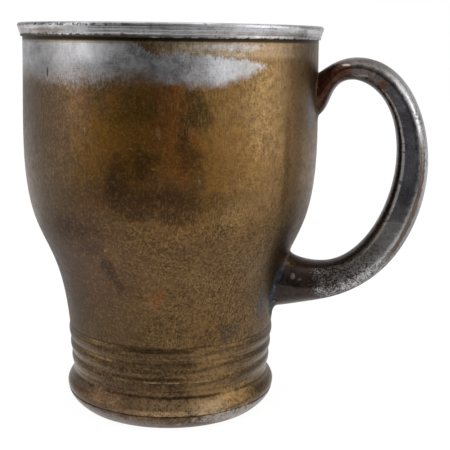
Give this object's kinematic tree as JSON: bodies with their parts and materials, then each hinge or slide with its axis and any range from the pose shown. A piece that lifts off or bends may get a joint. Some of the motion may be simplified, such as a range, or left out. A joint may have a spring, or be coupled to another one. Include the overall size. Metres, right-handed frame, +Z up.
{
  "type": "beer mug",
  "caption": "Tulip-shaped metal drinking mug on a reeded foot ring, with a moulded lip and a ridged loop handle soldered to its side.",
  "frame": {"origin": "on the table, under the middle of the mug and its handle together; the mug's own axis is 16.8 mm along -X from it", "axes": "+X from the mug's axis towards the handle, +Z up out of the mouth"},
  "size_m": [0.129, 0.0954, 0.122],
  "materials": {
    "tulip_brass": "old brass, brown patina, some tarnished silver plate left near the lip",
    "foot_brass": "old brass, brown patina, polished on the high places, dirt in the grooves",
    "floor_brass": "dull brass sheet",
    "handle_bronze": "cast brass, dark patina with worn silver plate on the outer face",
    "lip_silver": "worn bright silver plate over brass, small pits",
    "solder_grey": "dull grey soft solder"
  },
  "bodies": {
    "root": {"tulip_wall": "tulip_brass", "lip_moulding": "lip_silver", "reeded_collar": "foot_brass", "foot_ring": "foot_brass", "floor_disc": "floor_brass", "handle": "handle_bronze", "upper_solder": "solder_grey", "lower_solder": "solder_grey"}
  },
  "joints": []
}
